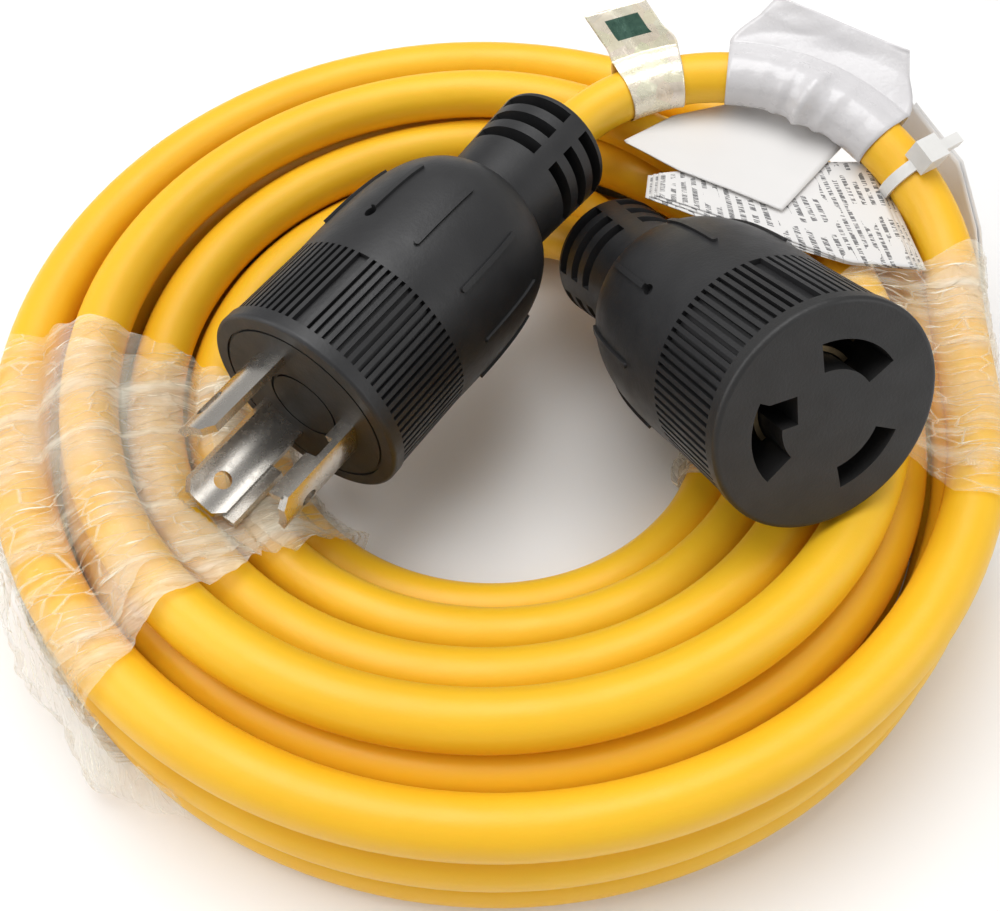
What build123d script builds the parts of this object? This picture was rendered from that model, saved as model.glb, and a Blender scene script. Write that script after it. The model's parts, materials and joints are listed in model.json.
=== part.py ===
from build123d import *
import math
import os

# A twist-lock 20 A cord set, coiled and film-wrapped for sale. All sizes are in millimetres.
# The origin is on the floor at the coil's axis, with Z up. The film wraps at the left and right
# and the round coil make that point the bottom centre of the whole object's box.

# ---- driving dimensions: the cord and its coil --------------------------------------------
CORD_D = 10.5               # three-core 12 AWG jacketed cord
CORD_R = CORD_D / 2
JACKET_WALL = 1.6
COIL_OUTER_R = 97.5
COIL_INNER_R = 40.0
COIL_PROFILE = [            # radius and height of the coil's outer shape, from the hole outwards
    (COIL_INNER_R, 9.0),
    (47.0, 15.0),
    (54.0, 21.5),
    (62.0, 24.2),
    (68.0, 31.0),
    (73.0, 36.0),
    (80.0, 36.0),
    (88.0, 32.5),
    (95.0, 28.0),
    (COIL_OUTER_R, 24.0),
]

# ---- driving dimensions: plug and connector bodies ------------------------------------------
FACE_R = 20.5               # round face, which is also the widest rim
RIM_LENGTH = 2.8
GRIP_END = 21.2             # depth from the face where the ribbed grip ends
GRIP_CORE_R = 19.2
GRIP_RIB_R = 20.2
GRIP_RIBS = 80
GRIP_RIB_WIDTH = 0.85
BODY_LENGTH = 57.4          # depth from the face where the shoulder meets the neck
BODY_PROFILE = [            # depth and radius of the smooth domed body
    (GRIP_END, 20.2),
    (29.0, 20.5),
    (38.0, 20.4),
    (45.5, 19.6),
    (51.0, 18.0),
    (55.0, 15.6),
    (BODY_LENGTH, 13.0),
]
BAR_WIDTH = 1.1             # thin raised bars along the dome
BAR_PROUD = 0.55
PLUG_BARS = {"count": 11, "turn": 8.8, "front": 28.3, "rear": 46.0}
CONNECTOR_BARS = {"count": 9, "turn": 14.0, "front": 31.5, "rear": 50.0}
GATE_BAR = 3                # the bar that ends at the moulding gate's small hole
PLUG_GATE_DEPTH = 30.5
CONNECTOR_GATE_DEPTH = 33.0
RELIEF_LENGTH = 24.6
RELIEF_NECK_R = 11.9
RELIEF_END_R = 13.2
RELIEF_SLOT_WIDTH = 2.8
RELIEF_SLOT_PITCH = 5.2
RELIEF_END_RIM = 1.6        # what is left behind the last row of slots
RELIEF_SLOT_ROWS = 3
RELIEF_SLOT_FLOOR_R = 9.2
RELIEF_SLOT_SPAN = 71.0     # degrees of arc of each slot
PLUG_RELIEF_TURN = 66.0     # angle at which the first slot starts
CONNECTOR_RELIEF_TURN = 14.0
TOTAL_LENGTH = BODY_LENGTH + RELIEF_LENGTH

CHAMBER_R = 15.0            # room inside the body for the crimps and cores
INSERT_R = 17.6             # nylon insert that holds the blades or contacts
PLUG_INSERT_DEPTH = 14.0
CONNECTOR_INSERT_DEPTH = 26.0
CHAMBER_END = 45.0
FACE_GROOVE = 0.5            # width and depth of the fine round grooves in the plug's face
FACE_GROOVES = (7.4, INSERT_R)
CORD_END = 54.0             # depth at which the jacket is stripped back

# ---- driving dimensions: blades and contacts --------------------------------------------------
BLADE_R_IN = 10.7
BLADE_THICK = 1.6
BLADE_TAIL = 20.0
# name, first and last angle on the plug's face, length in front of the face
BLADES = {
    "y": (101.0, 163.0, 19.0),
    "ground": (-151.0, -103.0, 23.0),
    "x": (-38.0, 14.0, 19.5),
}
BLADE_HOLE_R = 1.7
BLADE_TIP_CHAMFER = 2.6
HOOK_START = 8.5            # the locking hook starts this far in front of the face
HOOK_REACH = 2.9
# name, first and last angle, inner and outer radius of the slots in the connector's face
SLOTS = {
    "x": (29.0, 94.0, 8.6, 13.7),
    "ground": (150.0, 215.0, 8.4, 13.9),
    "y": (-81.0, -27.0, 10.0, 14.3),
}
SLOT_DEPTH = 22.0
CONTACT_THICK = 0.9
CONTACT_GAP = 0.25          # clearance of a contact leaf from the slot's wall
CONTACT_SET_BACK = 7.0

CORE_D = 3.4                # insulated core
CORE_RING_R = 2.05          # radius on which the three cores lie in the jacket
CRIMP_R = 2.5
CRIMP_LENGTH = 8.0
CRIMP_RING_R = 10.6

# ---- where the plug and the connector lie ------------------------------------------------------
PLUG_FACE_AT = (-34.8, -18.1, 37.8)
PLUG_AZIMUTH = 55.7         # heading from the face to the cord, in degrees
PLUG_RISE = 0.8
CONNECTOR_FACE_AT = (52.9, -33.8, 55.1)
CONNECTOR_AZIMUTH = 111.8
CONNECTOR_RISE = -24.9

# ---- the cord's two tails, from each strain relief to the coil -----------------------------------
PLUG_TAIL = [
    (15.01, 54.92, 39.03),
    (26.2, 63.3, 41.2),
    (40.7, 66.9, 43.3),
    (55.6, 64.8, 44.8),
    (69.1, 58.2, 44.5),
    (80.2, 48.2, 41.8),
    (88.4, 35.6, 37.3),
    (92.0, 21.5, 32.5),
    (91.8, 7.5, 28.0),
]
CONNECTOR_TAIL = [
    (23.73, 39.13, 18.64),
    (12.5, 49.8, 13.5),
    (-2.0, 53.2, 10.0),
    (-16.5, 51.2, 8.2),
    (-30.0, 45.0, 7.0),
]
TAIL_START = 10.0           # each tail starts this far inside its strain relief
ARC_SHARE = 0.45            # share of the shorter run that each arc takes

# ---- labels, tie and film -----------------------------------------------------------------------
PAPER = 0.5
FILM = 0.5
COIL_BASE_Z = FILM          # the film under the coil lifts it this far
FILM_LEFT = (178.0, 52.0)   # first angle and sweep about the coil's axis
FILM_RIGHT = (-22.0, 36.0)


def unit(azimuth, rise):
    """Direction of a heading and a rise, both in degrees."""
    a, r = math.radians(azimuth), math.radians(rise)
    return Vector(math.cos(r) * math.cos(a), math.cos(r) * math.sin(a), math.sin(r))


def face_plane(at, azimuth, rise):
    """Plane of a face: its Z points out of the face, its X is horizontal."""
    a = math.radians(azimuth)
    across = Vector(math.sin(a), -math.cos(a), 0)
    return Plane(origin=at, x_dir=across, z_dir=-unit(azimuth, rise))


PLUG_PLANE = face_plane(PLUG_FACE_AT, PLUG_AZIMUTH, PLUG_RISE)
CONNECTOR_PLANE = face_plane(CONNECTOR_FACE_AT, CONNECTOR_AZIMUTH, CONNECTOR_RISE)


def polar(radius, angle, z=0.0):
    a = math.radians(angle)
    return (radius * math.cos(a), radius * math.sin(a), z)


def disc(radius, z_from, z_to):
    """Round bar about the local Z axis between two depths."""
    return Pos(0, 0, z_from) * extrude(Circle(radius), z_to - z_from)


def cone(r_from, r_to, z_from, z_to):
    """Tapered bar about the local Z axis."""
    outline = [(0, z_from), (r_from, z_from), (r_to, z_to), (0, z_to)]
    return revolve(Plane.XZ * make_face(Polyline(outline, close=True)), Axis.Z)


def arc_face(r_in, r_out, first, last):
    """Flat arc-shaped strip between two angles."""
    middle = (first + last) / 2
    outer = ThreePointArc(polar(r_out, first), polar(r_out, middle), polar(r_out, last))
    inner = ThreePointArc(polar(r_in, last), polar(r_in, middle), polar(r_in, first))
    return make_face([
        outer,
        Line(polar(r_out, last), polar(r_in, last)),
        inner,
        Line(polar(r_in, first), polar(r_out, first)),
    ])


def arc_bar(r_in, r_out, first, last, z_from, z_to):
    """The same strip as a solid between two depths."""
    return Pos(0, 0, z_from) * extrude(arc_face(r_in, r_out, first, last), z_to - z_from)


def block(size_x, size_y, size_z, at):
    return Pos(*at) * Box(size_x, size_y, size_z)


# ---- moulded bodies ---------------------------------------------------------------------------------
def dome(proud):
    """The smooth body behind the grip, grown by proud."""
    points = [(r + proud, -depth) for depth, r in BODY_PROFILE]
    outline = Wire([
        Spline(points),
        Line(points[-1], (0, points[-1][1])),
        Line((0, points[-1][1]), (0, points[0][1])),
        Line((0, points[0][1]), points[0]),
    ])
    return revolve(Plane.XZ * make_face(outline), Axis.Z)


def grip_ribs():
    """Fine lengthwise ribs round the grip, left out at the two mould lines."""
    ribs = Part()
    length = GRIP_END - RIM_LENGTH
    middle_z = -(GRIP_END + RIM_LENGTH) / 2
    middle_r = (GRIP_CORE_R + GRIP_RIB_R) / 2
    for i in range(GRIP_RIBS):
        if i % (GRIP_RIBS // 2) == 0:
            continue
        rib = block(GRIP_RIB_R - GRIP_CORE_R + 0.6, GRIP_RIB_WIDTH, length, (middle_r - 0.3, 0, middle_z))
        ribs += Rot(0, 0, i * 360 / GRIP_RIBS + 90) * rib
    return ribs


def bar_angle(bars, index):
    return bars["turn"] + index * 360 / bars["count"]


def dome_bars(bars, gate_depth):
    """Thin raised bars that lie along the dome, one of them cut short by the gate."""
    rows = Part()
    for i in range(bars["count"]):
        front = gate_depth if i == GATE_BAR else bars["front"]
        bar = extrude(Plane.YZ * SlotOverall(bars["rear"] - front, BAR_WIDTH), FACE_R + 2)
        bar = Pos(0, 0, -(front + bars["rear"]) / 2) * Rot(90, 0, 0) * bar
        rows += Rot(0, 0, bar_angle(bars, i)) * bar
    return rows & dome(BAR_PROUD)


def gate_hole(bars, gate_depth):
    """Small oval gate hole at the front end of one bar."""
    hole = extrude(Ellipse(1.3, 1.0), 3)
    at_r = BODY_PROFILE[1][1] - 1.2
    return Rot(0, 0, bar_angle(bars, GATE_BAR)) * Pos(at_r, 0, -gate_depth) * Rot(0, 90, 0) * hole


def chamber():
    """Room inside the body for the crimps and the cores."""
    room = disc(CHAMBER_R, -CHAMBER_END, -PLUG_INSERT_DEPTH + 1)
    return room + cone(CORD_R, CHAMBER_R, -BODY_LENGTH, -CHAMBER_END)


def overmold(insert_depth, rim_is_insert, bars, gate_depth):
    """Outer moulding: rim, ribbed grip and dome, hollow for what it holds."""
    body = dome(0) + disc(GRIP_CORE_R, -GRIP_END, -RIM_LENGTH)
    body += grip_ribs()
    body += dome_bars(bars, gate_depth)
    if not rim_is_insert:
        rim = disc(FACE_R, -RIM_LENGTH, 0)
        rim = fillet(rim.edges().group_by(Axis.Z)[-1], 0.8)
        body += rim
    body -= disc(INSERT_R, -insert_depth, 1)
    body -= chamber()
    body -= disc(CORD_R, -BODY_LENGTH - 1, -CHAMBER_END)
    body -= gate_hole(bars, gate_depth)
    return body


def strain_relief(turn):
    """Flared sleeve behind the body, with rows of slots that let it bend."""
    neck_z = -BODY_LENGTH
    end_z = -TOTAL_LENGTH
    sleeve = cone(RELIEF_END_R, RELIEF_NECK_R, end_z, neck_z)
    sleeve = fillet(sleeve.edges().group_by(Axis.Z)[0], 1.1)
    quarter = 90
    for q in range(4):
        first = q * quarter + turn
        for row in range(RELIEF_SLOT_ROWS):
            z = end_z + RELIEF_END_RIM + row * RELIEF_SLOT_PITCH
            sleeve -= arc_bar(RELIEF_SLOT_FLOOR_R, RELIEF_END_R + 2, first, first + RELIEF_SLOT_SPAN,
                              z, z + RELIEF_SLOT_WIDTH)
    return sleeve - disc(CORD_R, end_z - 1, neck_z + 1)


# ---- the plug's insides ----------------------------------------------------------------------------------
def blade(name):
    """Curved blade with its hole, chamfered tip, locking hook and rear tail."""
    first, last, length = BLADES[name]
    r_out = BLADE_R_IN + BLADE_THICK
    middle = (first + last) / 2
    strip = arc_bar(BLADE_R_IN, r_out, first, last, -PLUG_INSERT_DEPTH, length)
    half_width = BLADE_R_IN * math.radians((last - first) / 2)
    cutter = Pos(BLADE_R_IN, 0, length) * Rot(45, 0, 0) * Box(12, BLADE_TIP_CHAMFER, BLADE_TIP_CHAMFER)
    for angle in (first, last):
        strip -= Rot(0, 0, angle) * cutter
    hole_z = length - 6.0
    if name == "y":
        hole = extrude(SlotOverall(2 * BLADE_HOLE_R + 2.4, 2 * BLADE_HOLE_R - 0.6), 6)
    else:
        hole = extrude(Circle(BLADE_HOLE_R), 6)
    strip -= Rot(0, 0, middle) * Pos(BLADE_R_IN - 3, 0, hole_z) * Rot(0, 90, 0) * hole
    hook_end = length - 1.2
    hook = block(HOOK_REACH, BLADE_THICK, hook_end - HOOK_START,
                 (BLADE_R_IN - HOOK_REACH / 2 + 0.4, -BLADE_THICK / 2, (hook_end + HOOK_START) / 2))
    if name == "ground":
        strip += arc_bar(r_out - 0.7, r_out + 0.9, last - 2, last + 11, HOOK_START, hook_end)
    if name == "x":
        strip += Rot(0, 0, last) * hook
        strip += Rot(0, 0, last) * block(2.2, BLADE_THICK, 6.0, (BLADE_R_IN - 0.7, -BLADE_THICK / 2, 1.0))
    tail = block(1.4, min(4.0, half_width), BLADE_TAIL - PLUG_INSERT_DEPTH + 1,
                 (BLADE_R_IN + 0.8, 0, -(BLADE_TAIL + PLUG_INSERT_DEPTH - 1) / 2))
    return strip + Rot(0, 0, middle) * tail


def crimp(middle, z_top):
    """Open barrel that grips a core, with a tongue against the blade or contact."""
    barrel = disc(CRIMP_R, -CRIMP_LENGTH, 0) - disc(CORE_D / 2, -CRIMP_LENGTH - 1, -2.0)
    return Rot(0, 0, middle) * Pos(CRIMP_RING_R, 0, z_top) * barrel


def core(middle, start_angle, z_crimp):
    """Insulated core from the jacket's end to its crimp."""
    start = Vector(*polar(CORE_RING_R, start_angle, -CORD_END))
    lead = start + Vector(0, 0, 5)
    turn = Vector(*polar(CRIMP_RING_R, middle, z_crimp - 9))
    end = Vector(*polar(CRIMP_RING_R, middle, z_crimp))
    path = FilletPolyline([start, lead, turn, end], radius=[2.6, 2.6])
    section = Plane(origin=start, z_dir=(0, 0, 1)) * Circle(CORE_D / 2)
    return sweep(section, path=path)


def plug_insert(blades):
    body = disc(INSERT_R, -PLUG_INSERT_DEPTH, 0)
    for outer in FACE_GROOVES:
        body -= disc(outer, -FACE_GROOVE, 1) - disc(outer - FACE_GROOVE, -1, 1)
    for item in blades:
        body -= item
    return body


# ---- the connector's insides ---------------------------------------------------------------------------------
def slot_void(name):
    """The space of one slot in the connector's face."""
    first, last, r_in, r_out = SLOTS[name]
    void = arc_bar(r_in, r_out, first, last, -SLOT_DEPTH - 1, 1)
    if name == "ground":
        void += block(7.0, 5.2, SLOT_DEPTH + 2, (-9.0, 3.4, -SLOT_DEPTH / 2))
    return void


def contact(name):
    """Spring contact: two curved leaves joined at the back, with a rear tail."""
    first, last, r_in, r_out = SLOTS[name]
    inset = 3.0
    low, high = first + inset, last - inset
    leaf_in = (r_in + CONTACT_GAP, r_in + CONTACT_GAP + CONTACT_THICK)
    leaf_out = (r_out - CONTACT_GAP - CONTACT_THICK, r_out - CONTACT_GAP)
    back = -SLOT_DEPTH + CONTACT_GAP
    body = arc_bar(leaf_in[0], leaf_in[1], low, high, back, -CONTACT_SET_BACK)
    body += arc_bar(leaf_out[0], leaf_out[1], low, high, back, -CONTACT_SET_BACK - 2.0)
    body += arc_bar(leaf_in[0], leaf_out[1], low, high, back, back + CONTACT_THICK)
    middle = (first + last) / 2
    tail_from = -CONNECTOR_INSERT_DEPTH - 5.0
    tail = block(1.2, 3.6, back - tail_from + 0.5, (CRIMP_RING_R + 0.6, 0, (back + 0.5 + tail_from) / 2))
    return body + Rot(0, 0, middle) * tail


def connector_insert():
    """Round face with the three slots right through it."""
    flange = disc(FACE_R, -RIM_LENGTH, 0)
    flange = fillet(flange.edges().group_by(Axis.Z)[-1], 0.9)
    body = flange + disc(INSERT_R, -SLOT_DEPTH, -RIM_LENGTH)
    for name in SLOTS:
        body -= slot_void(name)
    return body


def contact_base(contacts):
    """Plate behind the slots, which the contacts' tails pass through."""
    body = disc(INSERT_R, -CONNECTOR_INSERT_DEPTH, -SLOT_DEPTH)
    for item in contacts:
        body -= item
    return body


# ---- the cord ----------------------------------------------------------------------------------------------------
def arc_radii(points):
    """Radius of the arc at each corner of a route."""
    radii = []
    for a, b, c in zip(points, points[1:], points[2:]):
        before, after = b - a, c - b
        half_turn = math.radians(before.get_angle(after)) / 2
        radii.append(ARC_SHARE * min(before.length, after.length) / math.tan(half_turn))
    return radii


def route_tube(name, points, radius):
    """Tube along straight runs joined by tangent arcs."""
    radii = arc_radii(points)
    path = FilletPolyline(points, radius=radii)
    start_plane = Plane(origin=points[0], z_dir=points[1] - points[0])
    tube = sweep(start_plane * Circle(radius), path=path)
    if radius == CORD_R:
        print(name, "arc radii", " ".join(f"{r:.1f}" for r in radii))
        print(name, f"length {path.length:.1f}, volume {tube.volume:.0f},",
              f"section x length {math.pi * radius ** 2 * path.length:.0f}")
    return tube


def tail_points(face_at, azimuth, rise, points):
    start = Vector(*face_at) + unit(azimuth, rise) * (TOTAL_LENGTH - TAIL_START)
    return [start] + [Vector(*p) for p in points]


def envelope(grow):
    """Simple outer shape of a plug or connector body, grown for clearance."""
    return disc(FACE_R + grow, -BODY_LENGTH, 0.5) + disc(RELIEF_END_R + grow, -TOTAL_LENGTH - grow, -BODY_LENGTH + 1)


def coil_ring(grow):
    """The coil's outer shape, or the same grown evenly for the film round it."""
    base = COIL_BASE_Z - grow
    inner, outer = COIL_INNER_R - grow, COIL_OUTER_R + grow
    points = [(inner, base), (inner, COIL_PROFILE[0][1] + grow)]
    points += [(r, z + grow) for r, z in COIL_PROFILE[1:-1]]
    points += [(outer, COIL_PROFILE[-1][1] + grow), (outer, base)]
    return make_face(Polyline(points, close=True))


def film_sleeve(first, sweep_angle):
    """Thin film round the coil's section over part of its turn."""
    band = Plane.XZ * (coil_ring(FILM) - coil_ring(0))
    return Rot(0, 0, first) * revolve(band, Axis.Z, revolution_arc=sweep_angle)


# ---- build everything about the coil's axis ------------------------------------------------------------------
nodes = {}


def place(plane, shape):
    return plane.location * shape


plug_blades = {name: blade(name) for name in BLADES}
contacts = {name: contact(name) for name in SLOTS}

plug_parts = {
    "plug_overmold": overmold(PLUG_INSERT_DEPTH, False, PLUG_BARS, PLUG_GATE_DEPTH),
    "plug_strain_relief": strain_relief(PLUG_RELIEF_TURN),
    "plug_face_insert": plug_insert(plug_blades.values()),
    "plug_jacket_end": disc(CORD_R, -TOTAL_LENGTH + TAIL_START, -CORD_END),
}
connector_parts = {
    "connector_overmold": overmold(CONNECTOR_INSERT_DEPTH, True, CONNECTOR_BARS, CONNECTOR_GATE_DEPTH),
    "connector_strain_relief": strain_relief(CONNECTOR_RELIEF_TURN),
    "connector_face_insert": connector_insert(),
    "connector_contact_base": contact_base(contacts.values()),
    "connector_jacket_end": disc(CORD_R, -TOTAL_LENGTH + TAIL_START, -CORD_END),
}
PLUG_CRIMP_Z = -BLADE_TAIL
CONNECTOR_CRIMP_Z = -CONNECTOR_INSERT_DEPTH - 5.0
for index, name in enumerate(BLADES):
    middle = (BLADES[name][0] + BLADES[name][1]) / 2
    plug_parts[f"plug_blade_{name}"] = plug_blades[name]
    plug_parts[f"plug_crimp_{name}"] = crimp(middle, PLUG_CRIMP_Z)
    plug_parts[f"plug_core_{name}"] = core(middle, 132 + 120 * index, PLUG_CRIMP_Z - 2.0)
for index, name in enumerate(SLOTS):
    middle = (SLOTS[name][0] + SLOTS[name][1]) / 2
    connector_parts[f"connector_contact_{name}"] = contacts[name]
    connector_parts[f"connector_crimp_{name}"] = crimp(middle, CONNECTOR_CRIMP_Z)
    connector_parts[f"connector_core_{name}"] = core(middle, 60 + 120 * index, CONNECTOR_CRIMP_Z - 2.0)
for name, shape in plug_parts.items():
    nodes[name] = place(PLUG_PLANE, shape)
for name, shape in connector_parts.items():
    nodes[name] = place(CONNECTOR_PLANE, shape)

plug_route = tail_points(PLUG_FACE_AT, PLUG_AZIMUTH, PLUG_RISE, PLUG_TAIL)
connector_route = tail_points(CONNECTOR_FACE_AT, CONNECTOR_AZIMUTH, CONNECTOR_RISE, CONNECTOR_TAIL)
plug_tube = route_tube("cord_tail_plug", plug_route, CORD_R)
connector_tube = route_tube("cord_tail_connector", connector_route, CORD_R)

clearance = place(PLUG_PLANE, envelope(1.0)) + place(CONNECTOR_PLANE, envelope(1.0))
coil = revolve(Plane.XZ * coil_ring(0), Axis.Z) - clearance
film_left = film_sleeve(*FILM_LEFT)
film_right = film_sleeve(*FILM_RIGHT)


def largest(shape):
    """The biggest solid of a shape that a cut has left in pieces."""
    return max(shape.solids(), key=lambda s: s.volume)


nodes["cord_coil"] = largest(coil)
nodes["cord_tail_plug"] = largest(plug_tube - coil - film_right)
nodes["cord_tail_connector"] = largest(connector_tube - coil)
nodes["film_wrap_left"] = largest(film_left)
nodes["film_wrap_right"] = largest(film_right - plug_tube)


# ---- tie and labels ------------------------------------------------------------------------------------------------
def on_tail(first, last, share):
    """Plane across the plug's tail, part of the way between two route points."""
    a, b = Vector(*PLUG_TAIL[first]), Vector(*PLUG_TAIL[last])
    return Plane(origin=a + (b - a) * share, x_dir=(0, 0, 1), z_dir=b - a)


def band_on_tail(plane, wall, width):
    """Band that hugs the plug's tail."""
    outer = route_tube("band", plug_route, CORD_R + wall)
    slab = place(plane, Box(40, 40, width))
    return largest((outer & slab) - plug_tube)


tie_plane = on_tail(5, 6, 0.62)
tie_head = place(tie_plane, block(4.6, 5.0, 5.4, (CORD_R + 2.6, 0, 0)))
tie_stub = place(tie_plane, block(2.0, 6.5, 2.4, (CORD_R + 2.4, -5.4, 0)))
nodes["cable_tie"] = band_on_tail(tie_plane, 1.0, 2.5) + (tie_head + tie_stub - plug_tube)

tag_plane = on_tail(1, 2, 0.55)
tag_flag = place(tag_plane, block(15.0, PAPER, 13.5, (12.0, 4.2, 0)))
nodes["outdoor_tag"] = band_on_tail(tag_plane, PAPER, 13.5) + (tag_flag - plug_tube)


def sheet_slab(corners, thickness=PAPER):
    """Thin plate over four corners, all at one height."""
    outline = Polyline([Vector(*p) for p in corners], close=True)
    return extrude(make_face(outline), thickness, dir=(0, 0, 1))


flag_plane = Plane(origin=(65.5, 66.5, 48.0), x_dir=(0.86, -0.51, -0.02), z_dir=(0.27, 0.42, 0.87))
nodes["flag_label"] = place(flag_plane, Box(31.0, 24.0, PAPER))
nodes["brand_card"] = sheet_slab([(27.5, 52.5, 36.8), (49.0, 58.0, 36.8), (66.5, 48.0, 36.8),
                                  (57.5, 33.0, 36.8), (38.5, 43.5, 36.8)])
nodes["leaflet"] = sheet_slab([(36.5, 38.5, 36.1), (41.5, 44.5, 36.1), (74.0, 44.0, 36.1),
                               (80.5, 26.0, 36.1), (70.0, 19.0, 36.1), (48.0, 30.0, 36.1)])

# ---- write the files --------------------------------------------------------------------------------------------------
box = Compound(children=[Compound(list(s.solids())) for s in nodes.values()]).bounding_box()
print("box from", tuple(box.min), "to", tuple(box.max))
os.makedirs("parts", exist_ok=True)
for name, shape in nodes.items():
    solids = shape.solids()
    export_step(Compound(list(solids)) if len(solids) > 1 else solids[0], f"parts/{name}.step")
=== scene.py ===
"""Looks of the coiled twist-lock cord set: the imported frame, its soft pieces, materials, light and camera."""
import json
import math

import bpy
import numpy as np
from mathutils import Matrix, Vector, noise

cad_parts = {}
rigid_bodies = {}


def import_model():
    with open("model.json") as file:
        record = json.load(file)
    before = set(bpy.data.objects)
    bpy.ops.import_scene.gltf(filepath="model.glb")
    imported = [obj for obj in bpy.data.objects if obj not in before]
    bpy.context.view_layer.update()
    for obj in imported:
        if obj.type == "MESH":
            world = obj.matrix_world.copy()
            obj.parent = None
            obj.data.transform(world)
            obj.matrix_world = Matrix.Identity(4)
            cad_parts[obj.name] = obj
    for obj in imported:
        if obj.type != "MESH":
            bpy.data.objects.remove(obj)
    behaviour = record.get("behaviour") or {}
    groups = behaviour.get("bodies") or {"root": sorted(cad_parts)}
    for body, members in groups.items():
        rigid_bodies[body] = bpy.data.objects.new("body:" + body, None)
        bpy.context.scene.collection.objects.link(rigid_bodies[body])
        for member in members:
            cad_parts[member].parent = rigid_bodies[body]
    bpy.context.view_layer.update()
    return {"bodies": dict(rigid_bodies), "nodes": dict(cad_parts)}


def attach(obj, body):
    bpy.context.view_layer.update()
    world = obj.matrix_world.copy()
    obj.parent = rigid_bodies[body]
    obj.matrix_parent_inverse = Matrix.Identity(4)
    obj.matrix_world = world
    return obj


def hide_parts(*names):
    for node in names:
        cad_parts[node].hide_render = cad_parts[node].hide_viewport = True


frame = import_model()
ROOT = next(iter(frame["bodies"]))
NODES = frame["nodes"]

# ---- the cord, in metres: the same route as in the CAD part ---------------------------------
MM = 0.001
D = 10.5 * MM                # cord diameter
FILM = 0.5 * MM              # the film under the coil
OUTER_R = 97.5 * MM

PLUG_FACE = Vector((-34.8, -18.1, 37.8)) * MM
CONNECTOR_FACE = Vector((52.9, -33.8, 55.1)) * MM
PLUG_HEADING = (55.7, 0.8)          # azimuth and rise from the face to the cord, in degrees
CONNECTOR_HEADING = (111.8, -24.9)
FACE_R = 20.5 * MM
BODY_LENGTH = 57.4 * MM
RELIEF_R = 13.2 * MM
TOTAL_LENGTH = 82.0 * MM
TAIL_START = 10.0 * MM              # each tail starts this far inside its strain relief
BLADE_REACH = 23.5 * MM
BLADE_R = 12.8 * MM

PLUG_TAIL = [
    (0.01501, 0.05492, 0.03903),
    (0.0262, 0.0633, 0.0412),
    (0.0407, 0.0669, 0.0433),
    (0.0556, 0.0648, 0.0448),
    (0.0691, 0.0582, 0.0445),
    (0.0802, 0.0482, 0.0418),
    (0.0884, 0.0356, 0.0373),
    (0.0920, 0.0215, 0.0325),
    (0.0918, 0.0075, 0.0280),
]
CONNECTOR_TAIL = [
    (0.02373, 0.03913, 0.01864),
    (0.0125, 0.0498, 0.0135),
    (-0.0020, 0.0532, 0.0100),
    (-0.0165, 0.0512, 0.0082),
    (-0.0300, 0.0450, 0.0070),
]
# Each turn of the coil, from the hole outwards along the cord: its (radius, height) in cord
# diameters at the back, left, front and right of the coil.
TURNS = [
    ((4.90, 0.70), (4.65, 0.65), (4.05, 0.98), (4.25, 0.62)),
    ((5.75, 1.50), (5.50, 1.75), (4.98, 1.62), (4.85, 1.40)),
    ((6.35, 0.60), (6.30, 0.75), (6.50, 1.20), (6.40, 1.10)),
    ((6.45, 2.20), (6.45, 2.30), (6.12, 2.30), (5.75, 2.25)),
    ((7.50, 3.10), (7.50, 2.90), (7.12, 3.00), (6.67, 3.00)),
    ((7.60, 1.90), (7.75, 1.85), (7.60, 2.10), (7.55, 2.00)),
    ((7.60, 0.70), (7.70, 0.70), (7.70, 0.85), (7.70, 0.70)),
    ((8.65, 0.57), (8.75, 0.57), (8.73, 0.57), (8.75, 0.57)),
    ((8.70, 1.60), (8.75, 1.55), (8.75, 1.55), (8.70, 1.55)),
    ((8.68, 3.10), (8.73, 2.60), (8.54, 2.53), (8.61, 2.55)),
]
STEPS = 24                   # points in each turn
STEP = 360 / STEPS
COIL_START = 139.0           # angle about the coil's axis where the connector's tail joins
COIL_END = 360 * len(TURNS) + 5.0


def unit(azimuth, rise):
    a, r = math.radians(azimuth), math.radians(rise)
    return Vector((math.cos(r) * math.cos(a), math.cos(r) * math.sin(a), math.sin(r)))


PLUG_AXIS = unit(*PLUG_HEADING)
CONNECTOR_AXIS = unit(*CONNECTOR_HEADING)


def smoothstep(t):
    t = np.clip(t, 0, 1)
    return t * t * (3 - 2 * t)


def coil_targets(angles):
    """Where each point of the coil would like to be, as (radius, height)."""
    keys, values = [], []
    for turn, quarters in enumerate(TURNS):
        for angle, at in zip((90, 180, 270, 360), quarters):
            keys.append(360 * turn + angle)
            values.append(at)
    keys, values = np.array(keys, float), np.array(values)
    i = np.clip(np.searchsorted(keys, angles) - 1, 0, len(keys) - 2)
    t = smoothstep((angles - keys[i]) / (keys[i + 1] - keys[i]))[:, None]
    return (values[i] * (1 - t) + values[i + 1] * t) * D


def tail_discs():
    """(radius, height) of the two tails at each slice of the coil that they pass."""
    discs = [[] for _ in range(STEPS)]
    for tail in (PLUG_TAIL[::-1], CONNECTOR_TAIL):
        x, y, z = np.array(tail).T
        angle = np.degrees(np.arctan2(y, x))
        for s in range(STEPS):
            if angle[0] <= s * STEP <= angle[-1]:
                at = (np.interp(s * STEP, angle, np.hypot(x, y)), np.interp(s * STEP, angle, z))
                discs[s].append(np.array(at))
    return discs


def push_apart(points, gap):
    """Moves discs of one slice until none is nearer to another than gap."""
    for i in range(len(points)):
        for j in range(i + 1, len(points)):
            away = points[j] - points[i]
            distance = math.hypot(*away)
            if distance < gap:
                shove = away / max(distance, 1e-6) * (gap - distance) / 2
                points[i] -= shove
                points[j] += shove


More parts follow.
